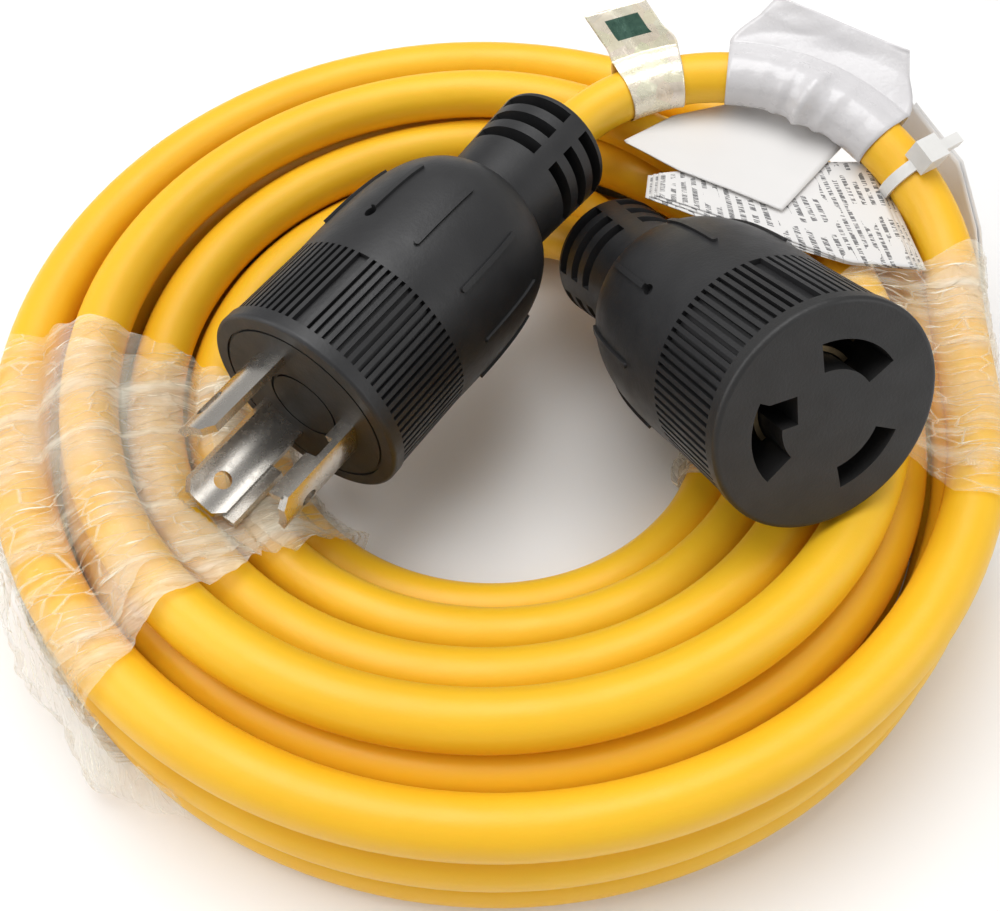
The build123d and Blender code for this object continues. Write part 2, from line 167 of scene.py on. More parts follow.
def push_off_bodies(point, across, obstacles):
    """Moves a disc out of the plug's and connector's round bodies, within its own slice."""
    for origin, axis, start, end, radius in obstacles:
        offset = np.array((point[0] * across[0], point[0] * across[1], point[1])) - origin
        along = float(offset @ axis)
        if start - 0.003 <= along <= end + 0.003:
            away = offset - axis * along
            distance = np.linalg.norm(away)
            need = radius + D / 2 + 0.0004
            if distance < need:
                shove = away / distance * (need - distance)
                point += (shove[0] * across[0] + shove[1] * across[1], shove[2])


SMOOTHING = 0.85             # share of the rounds with strong smoothing and a pull to the aims
FIRST_PULL = 0.6             # share of the rounds in which that pull is strong


def relaxed_coil(rounds=200):
    """Turns of the coil that lie beside and on each other, as (angle, radius, height) rows."""
    angles = np.arange(math.ceil(COIL_START / STEP) * STEP, COIL_END - STEP / 2, STEP)
    targets = coil_targets(angles)
    points = targets.copy()
    across = np.stack([np.cos(np.radians(angles)), np.sin(np.radians(angles))], 1)
    slices = np.round(angles / STEP).astype(int) % STEPS
    groups = [np.flatnonzero(slices == s) for s in range(STEPS)]
    tails = tail_discs()
    obstacles = []
    for face, axis in ((PLUG_FACE, PLUG_AXIS), (CONNECTOR_FACE, CONNECTOR_AXIS)):
        obstacles.append((np.array(face), np.array(axis), 0.0, BODY_LENGTH, FACE_R))
        obstacles.append((np.array(face), np.array(axis), BODY_LENGTH, TOTAL_LENGTH, RELIEF_R))
    obstacles.append((np.array(PLUG_FACE), np.array(PLUG_AXIS), -BLADE_REACH, 0.0, BLADE_R))
    first = (math.hypot(*CONNECTOR_TAIL[-1][:2]), CONNECTOR_TAIL[-1][2])
    last = (math.hypot(*PLUG_TAIL[-1][:2]), PLUG_TAIL[-1][2])
    gap = D * 1.02
    for n in range(rounds):
        share = n / rounds
        padded = np.vstack([first, points, last])
        points += (0.35 if share < SMOOTHING else 0.12) * ((padded[:-2] + padded[2:]) / 2 - points)
        if share < SMOOTHING:
            points += (0.12 if share < FIRST_PULL else 0.03) * (targets - points)
        for _ in range(4):
            for s, group in enumerate(groups):
                here = points[group]
                push_apart(here, gap)
                for k, index in enumerate(group):
                    for disc in tails[s]:
                        away = here[k] - disc
                        distance = math.hypot(*away)
                        if distance < gap and 3 <= index <= len(points) - 3:
                            here[k] += away / distance * (gap - distance)
                    push_off_bodies(here[k], across[index], obstacles)
                here[:, 1] = np.maximum(here[:, 1], FILM + D / 2)
                here[:, 0] = np.minimum(here[:, 0], OUTER_R - D / 2 - 0.0002)
                points[group] = here
    return np.column_stack([angles, points])


COIL = relaxed_coil()


def cord_points():
    """Every control point of the cord, from inside the connector's relief to inside the plug's."""
    start = CONNECTOR_FACE + CONNECTOR_AXIS * (TOTAL_LENGTH - TAIL_START)
    end = PLUG_FACE + PLUG_AXIS * (TOTAL_LENGTH - TAIL_START)
    outwards = 1 / math.cos(math.radians(STEP / 2))     # the spline cuts inside its points
    turns = []
    for angle, radius, height in COIL:
        a = math.radians(angle)
        turns.append((radius * outwards * math.cos(a), radius * outwards * math.sin(a), height))
    return [tuple(start)] + CONNECTOR_TAIL + turns + PLUG_TAIL[::-1] + [tuple(end)]


def build_cord():
    curve = bpy.data.curves.new("cord", "CURVE")
    curve.dimensions = "3D"
    curve.resolution_u = 6
    curve.bevel_depth = 1.0         # each point's own radius is the cord's
    curve.bevel_resolution = 7
    curve.use_fill_caps = True
    points = cord_points()
    spline = curve.splines.new("NURBS")
    spline.points.add(len(points) - 1)
    for p, at in zip(spline.points, points):
        p.co = (*at, 1.0)
        p.radius = D / 2
    spline.order_u = 3
    spline.use_endpoint_u = True
    spline.use_smooth = True
    obj = bpy.data.objects.new("cord", curve)
    bpy.context.scene.collection.objects.link(obj)
    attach(obj, ROOT)
    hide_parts("cord_coil", "cord_tail_plug", "cord_tail_connector")
    return obj


# ---- materials ---------------------------------------------------------------------------------
def start_material(name):
    """A material with one Principled node, which is returned with its tree."""
    mat = bpy.data.materials.new(name)
    mat.use_nodes = True
    tree = mat.node_tree
    return mat, tree, tree.nodes["Principled BSDF"]


def add(tree, kind, inputs=(), **settings):
    """A node of that kind. Each input is a value or another node's socket."""
    made = tree.nodes.new("ShaderNode" + kind)
    for name, value in settings.items():
        setattr(made, name, value)
    for name, value in dict(inputs).items():
        connect(tree, value, made.inputs[name])
    return made


def connect(tree, value, socket):
    if isinstance(value, bpy.types.NodeSocket):
        tree.links.new(value, socket)
    else:
        socket.default_value = value


def place_coords(tree, scale=(1, 1, 1)):
    """Object coordinates, stretched."""
    coords = add(tree, "TexCoord")
    return add(tree, "Mapping", {"Vector": coords.outputs["Object"], "Scale": scale}).outputs[0]


def noise_of(tree, vector, scale, detail=3.0, rough=0.5):
    made = add(tree, "TexNoise", {"Vector": vector, "Scale": scale, "Detail": detail, "Roughness": rough})
    return made.outputs["Fac"]


def ranged(tree, value, low, high, from_low=0.3, from_high=0.7):
    made = add(tree, "MapRange", {"Value": value, "From Min": from_low, "From Max": from_high,
                                  "To Min": low, "To Max": high})
    return made.outputs["Result"]


def bumped(tree, height, distance, strength=1.0, normal=None):
    made = add(tree, "Bump", {"Height": height, "Distance": distance, "Strength": strength})
    if normal is not None:
        tree.links.new(normal, made.inputs["Normal"])
    return made.outputs["Normal"]


def mix_color(tree, factor, first, second):
    made = tree.nodes.new("ShaderNodeMix")
    made.data_type = "RGBA"
    connect(tree, factor, made.inputs[0])
    connect(tree, first, made.inputs[6])
    connect(tree, second, made.inputs[7])
    return made.outputs[2]


def plastic(name, dark, light, roughness, spread, grain, grain_depth, mottle=90.0, specular=0.5):
    """Moulded plastic: slightly uneven colour and gloss, with a fine moulded grain."""
    mat, tree, shader = start_material(name)
    coords = place_coords(tree)
    patches = noise_of(tree, coords, mottle, 4.0)
    connect(tree, mix_color(tree, ranged(tree, patches, 0, 1), dark, light), shader.inputs["Base Color"])
    rubbed = noise_of(tree, coords, mottle * 2.3, 5.0)
    connect(tree, ranged(tree, rubbed, roughness - spread, roughness + spread),
            shader.inputs["Roughness"])
    fine = noise_of(tree, coords, grain, 2.0, 0.6)
    connect(tree, bumped(tree, fine, grain_depth), shader.inputs["Normal"])
    shader.inputs["Specular IOR Level"].default_value = specular
    return mat


def cord_jacket():
    mat, tree, shader = start_material("cord_jacket")
    coords = place_coords(tree)
    patches = noise_of(tree, coords, 14.0, 3.0)
    colour = mix_color(tree, ranged(tree, patches, 0, 1), (0.88, 0.475, 0.014, 1), (0.94, 0.545, 0.020, 1))
    connect(tree, colour, shader.inputs["Base Color"])
    scuffs = noise_of(tree, place_coords(tree, (1, 1, 3)), 60.0, 6.0, 0.65)
    connect(tree, ranged(tree, scuffs, 0.36, 0.5), shader.inputs["Roughness"])
    grain = noise_of(tree, coords, 2600.0, 2.0)
    soft = bumped(tree, noise_of(tree, coords, 120.0, 2.0), 0.0006, 0.35)
    connect(tree, bumped(tree, grain, 0.00003, 0.5, soft), shader.inputs["Normal"])
    shader.inputs["Subsurface Weight"].default_value = 0.12
    shader.inputs["Subsurface Radius"].default_value = (1.0, 0.45, 0.1)
    shader.inputs["Subsurface Scale"].default_value = 0.003
    shader.inputs["Specular IOR Level"].default_value = 0.45
    return mat


def metal(name, dark, light, roughness, spread, stain_scale=160.0):
    """Plated or plain metal with fine brushing and dull patches."""
    mat, tree, shader = start_material(name)
    coords = place_coords(tree)
    stains = noise_of(tree, coords, stain_scale, 5.0)
    tone = mix_color(tree, ranged(tree, stains, 0, 1, 0.35, 0.65), dark, light)
    connect(tree, tone, shader.inputs["Base Color"])
    streaks = noise_of(tree, coords, 900.0, 3.0)
    connect(tree, ranged(tree, streaks, roughness - spread, roughness + spread), shader.inputs["Roughness"])
    connect(tree, bumped(tree, streaks, 0.000015, 0.4), shader.inputs["Normal"])
    shader.inputs["Metallic"].default_value = 1.0
    return mat


# ---- stage, light and camera ---------------------------------------------------------------------
FOCAL_PX = 1150.0            # focal length for a picture 1000 wide
PICTURE_WIDTH = 1000.0
CAMERA_AT = (0.0005, -0.1423, 0.2032)
CAMERA_DOWN = 55.6           # degrees below the horizon


def build_camera():
    data = bpy.data.cameras.new("camera")
    data.sensor_width = 36.0
    data.lens = FOCAL_PX / PICTURE_WIDTH * data.sensor_width
    data.clip_start = 0.005
    cam = bpy.data.objects.new("camera", data)
    cam.location = CAMERA_AT
    cam.rotation_euler = (math.radians(90 - CAMERA_DOWN), 0, 0)
    bpy.context.scene.collection.objects.link(cam)
    bpy.context.scene.camera = cam


def area_light(name, at, target, size, watts, colour=(1, 1, 1)):
    data = bpy.data.lights.new(name, "AREA")
    data.shape = "RECTANGLE"
    data.size, data.size_y = size
    data.energy = watts
    data.color = colour
    light = bpy.data.objects.new(name, data)
    light.location = at
    light.rotation_euler = (Vector(target) - Vector(at)).to_track_quat("-Z", "Y").to_euler()
    bpy.context.scene.collection.objects.link(light)


def build_stage():
    world = bpy.data.worlds.new("studio")
    world.use_nodes = True
    world.node_tree.nodes["Background"].inputs["Color"].default_value = (1.0, 1.0, 1.0, 1)
    world.node_tree.nodes["Background"].inputs["Strength"].default_value = 0.42
    bpy.context.scene.world = world
    bpy.context.scene.view_settings.view_transform = "Standard"
    area_light("top", (-0.1, 0.15, 0.75), (0, 0, 0), (0.7, 0.5), 4.2)
    area_light("left", (-0.7, -0.1, 0.45), (0, 0, 0.02), (0.5, 0.5), 2.2)
    area_light("right", (0.65, -0.25, 0.4), (0, 0, 0.02), (0.35, 0.5), 1.2)
    mesh = bpy.data.meshes.new("floor")
    side = 3.0
    corners = [(-side, -side, 0), (side, -side, 0), (side, side, 0), (-side, side, 0)]
    mesh.from_pydata(corners, [], [(0, 1, 2, 3)])
    floor = bpy.data.objects.new("floor", mesh)
    bpy.context.scene.collection.objects.link(floor)
    mat, tree, shader = start_material("floor")
    coords = place_coords(tree)
    tone = mix_color(tree, noise_of(tree, coords, 5.0), (0.91, 0.91, 0.91, 1), (0.94, 0.94, 0.94, 1))
    connect(tree, tone, shader.inputs["Base Color"])
    shader.inputs["Roughness"].default_value = 0.85
    mesh.materials.append(mat)


# ---- thin sheets: film, tag and labels -----------------------------------------------------------
def grid_object(name, rows, mat, replaced=(), thickness=0.0, close=False):
    """A sheet over a grid of points, which may be closed along its rows."""
    rows = np.asarray(rows, float)
    n_u, n_v = rows.shape[:2]
    faces = []
    for i in range(n_u if close else n_u - 1):
        for j in range(n_v - 1):
            k = (i + 1) % n_u
            faces.append((i * n_v + j, i * n_v + j + 1, k * n_v + j + 1, k * n_v + j))
    mesh = bpy.data.meshes.new(name)
    mesh.from_pydata(rows.reshape(-1, 3).tolist(), [], faces)
    mesh.polygons.foreach_set("use_smooth", [True] * len(mesh.polygons))
    uv = mesh.uv_layers.new(name="sheet")
    for loop in mesh.loops:
        k, j = divmod(loop.vertex_index, n_v)
        uv.data[loop.index].uv = (k / (n_u - 1), j / (n_v - 1))
    mesh.materials.append(mat)
    obj = bpy.data.objects.new(name, mesh)
    bpy.context.scene.collection.objects.link(obj)
    if thickness:
        solidify = obj.modifiers.new("thickness", "SOLIDIFY")
        solidify.thickness = thickness
        solidify.offset = 0.0
    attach(obj, ROOT)
    if replaced:
        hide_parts(*replaced)
    return obj


def unwound(points):
    """The whole cord about the coil's axis: its unwrapped angle, radius and height."""
    x, y, z = np.array(points).T
    angle = np.degrees(np.unwrap(np.arctan2(y, x)))
    if angle[0] > angle[-1]:
        angle, x, y, z = angle[::-1], x[::-1], y[::-1], z[::-1]
    return np.column_stack([angle - 360 * math.floor(angle[0] / 360), np.hypot(x, y), z])


def strands_at(path, angle):
    """(radius, height) of each turn of the cord at one angle about the coil's axis."""
    here = np.arange(angle % 360, path[-1, 0], 360)
    here = here[here >= path[0, 0]]
    return np.stack([np.interp(here, path[:, 0], path[:, i]) for i in (1, 2)], 1)


SECTION_CENTRE = np.array((0.0685, 0.0155))    # radius and height that a wrap goes round
BRIDGE_DIP = 0.45                              # how far film dips between two turns towards them


def section_reach(strands, turns, gap):
    """How far a wrap stands from the section's centre in each direction, stretched over the turns."""
    reach = np.zeros(len(turns))
    circle = np.linspace(0, 2 * math.pi, 24, endpoint=False)
    rim = (D / 2 + gap) * np.stack([np.cos(circle), np.sin(circle)], 1)
    cloud = (strands[:, None, :] + rim).reshape(-1, 2) - SECTION_CENTRE
    hull = convex_outline(cloud)
    after = np.roll(hull, -1, axis=0)
    for k, turn in enumerate(turns):
        ray = np.array((math.cos(turn), math.sin(turn)))
        edge = after - hull
        cross = ray[0] * edge[:, 1] - ray[1] * edge[:, 0]
        with np.errstate(divide="ignore", invalid="ignore"):
            far = (hull[:, 0] * edge[:, 1] - hull[:, 1] * edge[:, 0]) / cross
            along = (hull[:, 0] * ray[1] - hull[:, 1] * ray[0]) / cross
        hit = far[(along >= -1e-9) & (along <= 1 + 1e-9) & (far > 0)]
        stretched = hit.max() if len(hit) else 0.02
        offset = strands - SECTION_CENTRE
        along_ray = offset @ ray
        beside = np.abs(offset @ np.array((-ray[1], ray[0])))
        touched = beside < D / 2 + gap
        touching = along_ray[touched] + np.sqrt(((D / 2 + gap) ** 2 - beside[touched] ** 2))
        resting = touching.max() if len(touching) else stretched - D / 2
        reach[k] = stretched - min(BRIDGE_DIP * (stretched - resting), D / 3)
    return reach


def convex_outline(cloud):
    """Convex hull of flat points, anticlockwise."""
    ordered = sorted(map(tuple, cloud))
    halves = []
    for run in (ordered, ordered[::-1]):
        half = []
        for p in run:
            while len(half) > 1 and (
                (half[-1][0] - half[-2][0]) * (p[1] - half[-2][1])
                - (half[-1][1] - half[-2][1]) * (p[0] - half[-2][0])
            ) <= 0:
                half.pop()
            half.append(p)
        halves += half[:-1]
    return np.array(halves)


def ridge(x, y, z=0.0):
    """Sharp creases: 1 on a crease, falling to 0."""
    return max(0.0, 1.0 - 3.2 * abs(noise.noise((x, y, z)))) ** 2


def off_bodies(point, gap):
    """Moves a point out of the plug's and connector's bodies."""
    for face, axis in ((PLUG_FACE, PLUG_AXIS), (CONNECTOR_FACE, CONNECTOR_AXIS)):
        offset = point - face
        along = offset.dot(axis)
        if face is PLUG_FACE and -BLADE_REACH - gap <= along <= 0:
            radius = BLADE_R
        elif 0 < along <= BODY_LENGTH:
            radius = FACE_R
        else:
            continue
        away = offset - axis * along
        if away.length < radius + gap:
            point = point + away.normalized() * (radius + gap - away.length)
    return point


def film_rows(path, first, sweep_angle, layers, seed, flare, shift):
    """A strip of film wound round the coil's section, with creases and a loose end."""
    per_turn, across = 160, 96
    angles = np.linspace(first - shift - 3, first + sweep_angle + shift + 3, 40)
    turns = np.linspace(0, 2 * math.pi, per_turn, endpoint=False)
    reach = np.array([section_reach(strands_at(path, a), turns, 0.0003) for a in angles])
    start_turn = math.radians(250)
    total = int(per_turn * layers)
    rows = []
    for i in range(total + 1):
        turn = start_turn - 2 * math.pi * i / per_turn
        layer = i / per_turn
        lean = shift * math.sin(1.7 * layer + seed)
        k = (turn / (2 * math.pi) * per_turn) % per_turn
        low, part = int(k) % per_turn, k - int(k)
        column = reach[:, low] * (1 - part) + reach[:, (low + 1) % per_turn] * part
        ray = (math.cos(turn), math.sin(turn))
        row = []
        loose = float(smoothstep((i - total + 34) / 34)) * flare
        for j in range(across + 1):
            v = j / across
            edge = abs(2 * v - 1)
            ragged = (noise.noise((i * 0.045, seed + 9.0 * (v > 0.5), 3.1)) * 3.0
                      + noise.noise((i * 0.21, seed + 9.0 * (v > 0.5), 7.7)) * 1.1)
            angle = first + v * sweep_angle + lean + ragged * edge ** 2 * (1 if v > 0.5 else -1)
            far = float(np.interp(angle, angles, column))
            arc = math.radians(angle) * 90
            along = turn * 24
            crease = (0.34 * ridge(arc * 0.35 + seed, along * 0.03, layer * 2)
                      + 0.30 * ridge(arc * 0.13 + along * 0.05, along * 0.10 - seed, 5.0)
                      + 0.20 * ridge(arc * 0.9, along * 0.12, seed + 2.0))
            ruffle = (0.5 + 0.5 * noise.noise((arc * 0.25, along * 0.22, seed))) * edge ** 6 * 1.8
            puff = max(0.0, noise.noise((arc * 0.06, along * 0.07, seed * 3))) * 1.6
            lift = MM * (0.28 * layer + crease + ruffle + puff * 0.5)
            if math.sin(turn) < -0.55:
                lift = min(lift, 0.0003) * 0.4
            far += lift + loose * (0.6 + 0.5 * noise.noise((arc * 0.09, 0.0, seed)))
            radius, height = SECTION_CENTRE + np.array(ray) * far
            a = math.radians(angle)
            point = Vector((radius * math.cos(a), radius * math.sin(a), max(height, 0.00012)))
            row.append(off_bodies(point, 0.0009))
        rows.append(row)
    return rows


def film_material(name, heading, seed):
    """Clear stretch film: mostly see-through, white along its crease lines, with fine white streaks painted in
    as glints (painted highlight). heading is the way it is pulled.
    """
    mat, tree, shader = start_material(name)
    coords = place_coords(tree)
    pulled = add(tree, "Mapping", {"Vector": coords, "Rotation": (0, 0, math.radians(-heading)),
                                   "Location": (seed, 0, 0)}).outputs[0]

    def stretched(along, across):
        return add(tree, "Mapping", {"Vector": pulled, "Scale": (along, across, along)}).outputs[0]

    fine = noise_of(tree, stretched(60.0, 1500.0), 1.0, 5.0, 0.65)
    broad = noise_of(tree, stretched(45.0, 330.0), 1.0, 4.0, 0.6)
    # fine white streaks of nearly opaque film: painted glints, a painted highlight
    glints = ranged(tree, fine, 0.0, 1.0, 0.60, 0.67)
    bands = ranged(tree, broad, 0.0, 1.0, 0.50, 0.68)
    veins = add(tree, "TexVoronoi", {"Vector": stretched(110.0, 330.0), "Scale": 1.0},
                feature="DISTANCE_TO_EDGE")
    folds = ranged(tree, veins.outputs["Distance"], 1.0, 0.0, 0.0, 0.06)
    haze = ranged(tree, noise_of(tree, coords, 34.0, 3.0), 0.04, 0.34, 0.38, 0.66)
    # opaque where the painted glints or the white fold lines are
    painted_glints_and_folds = math_node(tree, "MAXIMUM", math_node(tree, "MULTIPLY", glints, 0.85),
                        math_node(tree, "MULTIPLY", folds, 0.35))
    cover = math_node(tree, "ADD", math_node(tree, "MULTIPLY", bands, 0.24), haze)
    alpha = math_node(tree, "MAXIMUM", painted_glints_and_folds, cover, clamp=True)
    connect(tree, alpha, shader.inputs["Alpha"])
    tone = mix_color(tree, haze, (0.98, 0.91, 0.70, 1), (0.98, 0.97, 0.93, 1))
    connect(tree, tone, shader.inputs["Base Color"])
    connect(tree, ranged(tree, broad, 0.10, 0.22), shader.inputs["Roughness"])
    relief = bumped(tree, fine, 0.0003, 0.8)
    relief = bumped(tree, folds, 0.0003, 0.5, relief)
    connect(tree, bumped(tree, broad, 0.0012, 0.8, relief), shader.inputs["Normal"])
    shader.inputs["Specular IOR Level"].default_value = 0.8
    return mat


FILM_WRAPS = {
    # name: first angle, sweep, layers, seed, flare of the loose end, sideways shift
    "film_wrap_left": (181.0, 45.0, 2.3, 4.0, 0.004, 3.0),
    "film_wrap_right": (-20.0, 32.0, 2.2, 11.0, 0.003, 2.0),
}
FLAP_FIRST = 196.0           # the loose flap of film at the left: first angle, sweep and drop
FLAP_SWEEP = 43.0
FLAP_TOP = 0.026
FLAP_OUT = 0.005
FLAP_LEVEL = 0.016           # the height at which the flap clears the strands by their full radius


def flap_rows(path):
    """The film's loose end, which leaves the coil's outer side and spreads towards the floor."""
    rows = []
    n_around, n_down = 150, 40
    for i in range(n_around + 1):
        share = i / n_around
        angle = FLAP_FIRST + FLAP_SWEEP * share
        a = math.radians(angle)
        outermost = max(r + math.sqrt(max((D / 2) ** 2 - (z - FLAP_LEVEL) ** 2 * 0.1, 0))
                        for r, z in strands_at(path, angle))
        ends = min(1.0, 5 * share, 4 * (1 - share))
        hem = 0.0015 + 0.004 * abs(noise.noise((angle * 0.13, 2.0, 5.0))) + 0.010 * (1 - ends)
        row = []
        for j in range(n_down + 1):
            t = j / n_down
            height = FLAP_TOP + (hem - FLAP_TOP) * t
            wave = noise.noise((angle * 0.11, t * 0.7, 1.0)) * 0.7
            wave += noise.noise((angle * 0.5, t * 1.5, 4.0)) * 0.25
            out = FLAP_OUT * ends * float(smoothstep(t * 1.1)) * (0.72 + wave)
            crease = 0.0005 * ridge(angle * 0.35, t * 0.6, 9.0) + 0.00025 * ridge(angle * 1.3, t * 1.3, 2.0)
            radius = outermost + 0.0010 + max(out, 0.0) + crease
            row.append(Vector((radius * math.cos(a), radius * math.sin(a), height)))
        rows.append(row)
    return rows


def build_film(path):
    for name, (first, sweep_angle, layers, seed, flare, shift) in FILM_WRAPS.items():
        rows = film_rows(path, first, sweep_angle, layers, seed, flare, shift)
        mat = film_material(name, first + sweep_angle / 2, seed)
        obj = grid_object(name.replace("wrap", "sheet"), rows, mat, [name])
    rows = flap_rows(path)
    add_sheet("film_flap_left", rows, film_material("film_flap", 90.0, 2.0), None, 0.0)


def centreline(obj):
    """Points along the cord's own spline."""
    depth = obj.data.bevel_depth
    obj.data.bevel_depth = 0.0
    bpy.context.view_layer.update()
    line = bpy.data.meshes.new_from_object(obj.evaluated_get(bpy.context.evaluated_depsgraph_get()))
    points = [v.co.copy() for v in line.vertices]
    bpy.data.meshes.remove(line)
    obj.data.bevel_depth = depth
    return points


class Tail:
    """The last stretch of the cord, measured from the plug's strain relief."""

    def __init__(self, points, length=0.16):
        self.points = [points[-1]]
        self.at = [0.0]
        for p in reversed(points[:-1]):
            self.at.append(self.at[-1] + (p - self.points[-1]).length)
            self.points.append(p)
            if self.at[-1] > length:
                break

    def nearest(self, target):
        distances = [(p - Vector(target)).length for p in self.points]
        return self.at[distances.index(min(distances))]

    def point(self, s):
        return Vector([float(np.interp(s, self.at, [p[i] for p in self.points])) for i in range(3)])

    def frame(self, s):
        """The point at s and the directions along, up and beside, which is towards the coil's hole."""
        along = (self.point(s + 0.002) - self.point(s - 0.002)).normalized()
        up = (Vector((0, 0, 1)) - along * along.z).normalized()
        return self.point(s), along, up, along.cross(up)


def flag_rows(tail, middle, half_width, base, reach, lean, wrinkle, pinch, seed, taper=0.0):
    """A strip looped round the cord whose two ends meet in a flag, as (row, place) points.

    base is the flag's angle from the top of the cord towards the coil's hole, in degrees.
    taper is how much narrower the flag is at its free edge than at the cord."""
    loop = D / 2 + 0.00025
    n_flag, n_loop, n_across = 26, 60, 36
    centre, along_mid, up_mid, beside_mid = tail.frame(middle)
    out = up_mid * math.cos(math.radians(base)) + beside_mid * math.sin(math.radians(base))
    side = up_mid * math.sin(math.radians(base)) - beside_mid * math.cos(math.radians(base))
    neck = 1.35
    rows = []
    for i in range(-n_flag, n_loop + n_flag + 1):
        row = []
        for j in range(n_across + 1):
            w = (2 * j / n_across - 1) * half_width
            at, _, up, beside = tail.frame(middle + w)
            turn = base + 360 * (1 - min(max(i / n_loop, 0), 1))
            rad = math.radians(turn)
            near_base = min(turn - base, base + 360 - turn) / 38
            grow = 1 + (neck - 1) * float(smoothstep(1 - near_base)) ** 2
            outward = up * math.cos(rad) + beside * math.sin(rad)
            fold = pinch * math.exp(-(w / 0.0028) ** 2) * max(0.0, math.cos(math.radians(turn - 70)))
            fold += pinch * 0.45 * max(0.0, math.sin(w * 1100 + turn * 0.02)) * math.exp(-(w / 0.009) ** 2)
            if 0 < i < n_loop:
                crumple = abs(noise.noise((w * 160, turn * 0.02, seed))) * 0.00025
                row.append(at + outward * (loop * grow + fold * min(near_base, 1.0) + crumple))
                continue
            t = (-i if i <= 0 else i - n_loop) / n_flag
            leaf = 0.00016 * (1 if i <= 0 else -1)
            local = at + outward * (loop * neck + reach * t)
            flat = centre + along_mid * (w * (1.02 - taper * t) + lean * t) + out * (loop * neck + reach * t)
            point = local.lerp(flat, float(smoothstep(t * 2.2)))
            crumple = noise.noise((w * 70 + seed, t * 2.0, seed)) * 0.8
            crumple += ridge(w * 55 + seed, t * 1.1, 1.0) * 0.5
            crumple += noise.noise((w * 25, t * 0.9, seed + 5)) * 1.6
            point += side * (leaf + crumple * wrinkle * min(1.0, 0.25 + t * 1.6))
            row.append(point)
        rows.append(row)
    return rows


def patch_rows(upper, lower, n_u, n_v, wave, seed, bow=0.0):
    """A sheet between two edges, each a list of points, with a gentle wave and a bow."""
    def edge(points, t):
        k = np.linspace(0, 1, len(points))
        return Vector([float(np.interp(t, k, [p[i] for p in points])) for i in range(3)])

    rows = []
    for i in range(n_u + 1):
        u = i / n_u
        a, b = edge(upper, u), edge(lower, u)
        row = []
        for j in range(n_v + 1):
            v = j / n_v
            point = a.lerp(b, v)
            lift = noise.noise((u * 2.3 + seed, v * 1.9, seed))
            lift += 0.4 * noise.noise((u * 6, v * 5 + seed, 2.0))
            point.z += wave * lift + bow * 4 * v * (1 - v)
            row.append(point)
        rows.append(row)
    return rows


def add_sheet(name, rows, mat, node, thickness):
    obj = grid_object(name, rows, mat, [node] if node else [], thickness)
    return obj


def sheet_uv(tree, scale=(1, 1, 1), turn=0.0):
    coords = add(tree, "TexCoord")
    return add(tree, "Mapping", {"Vector": coords.outputs["UV"], "Scale": scale,
                                 "Rotation": (0, 0, turn)}).outputs[0]


def math_node(tree, operation, *values, clamp=False):
    return add(tree, "Math", dict(enumerate(values)), operation=operation, use_clamp=clamp).outputs[0]


def paper(name, ruled=0.0, rows=26.0):
    """White paper with fibres and faint toning. ruled adds rows of plain grey specks."""
    mat, tree, shader = start_material(name)
    coords = place_coords(tree)
    fibre = noise_of(tree, coords, 3500.0, 4.0, 0.6)
    tone = noise_of(tree, coords, 30.0, 3.0)
    colour = mix_color(tree, tone, (0.70, 0.685, 0.67, 1), (0.78, 0.765, 0.75, 1))
    if ruled:
        uv = sheet_uv(tree)
        parts = add(tree, "SeparateXYZ", {"Vector": uv})
        row = math_node(tree, "FRACT", math_node(tree, "MULTIPLY", parts.outputs["X"], rows))
        off_line = math_node(tree, "ABSOLUTE", math_node(tree, "SUBTRACT", row, 0.5))
        in_row = math_node(tree, "LESS_THAN", off_line, 0.24)
        specks = noise_of(tree, sheet_uv(tree, (rows * 1.0, 95.0, 1)), 1.0, 1.0)
        words = math_node(tree, "GREATER_THAN", specks, 0.47)
        columns = noise_of(tree, sheet_uv(tree, (rows * 0.5, 5.0, 1)), 1.0, 0.0)
        block = math_node(tree, "GREATER_THAN", columns, 0.42)
        ink = math_node(tree, "MULTIPLY", math_node(tree, "MULTIPLY", in_row, words), block)
        ink = math_node(tree, "MULTIPLY", ink, ruled)
        colour = mix_color(tree, ink, colour, (0.08, 0.08, 0.085, 1))
    connect(tree, colour, shader.inputs["Base Color"])
    connect(tree, ranged(tree, fibre, 0.5, 0.65), shader.inputs["Roughness"])
    connect(tree, bumped(tree, fibre, 0.00004, 0.5), shader.inputs["Normal"])
    return mat


def vinyl():
    """Glossy white label film with soft dents."""
    mat, tree, shader = start_material("label_vinyl")
    coords = place_coords(tree)
    tone = noise_of(tree, coords, 60.0, 3.0)
    white = mix_color(tree, tone, (0.60, 0.585, 0.595, 1), (0.70, 0.685, 0.69, 1))
    connect(tree, white, shader.inputs["Base Color"])
    dents = noise_of(tree, coords, 220.0, 3.0, 0.6)
    connect(tree, ranged(tree, dents, 0.22, 0.38), shader.inputs["Roughness"])
    fine = bumped(tree, noise_of(tree, coords, 1800.0, 2.0), 0.00002, 0.5)
    connect(tree, bumped(tree, dents, 0.0005, 0.5, fine), shader.inputs["Normal"])
    shader.inputs["Coat Weight"].default_value = 0.3
    shader.inputs["Coat Roughness"].default_value = 0.12
    return mat


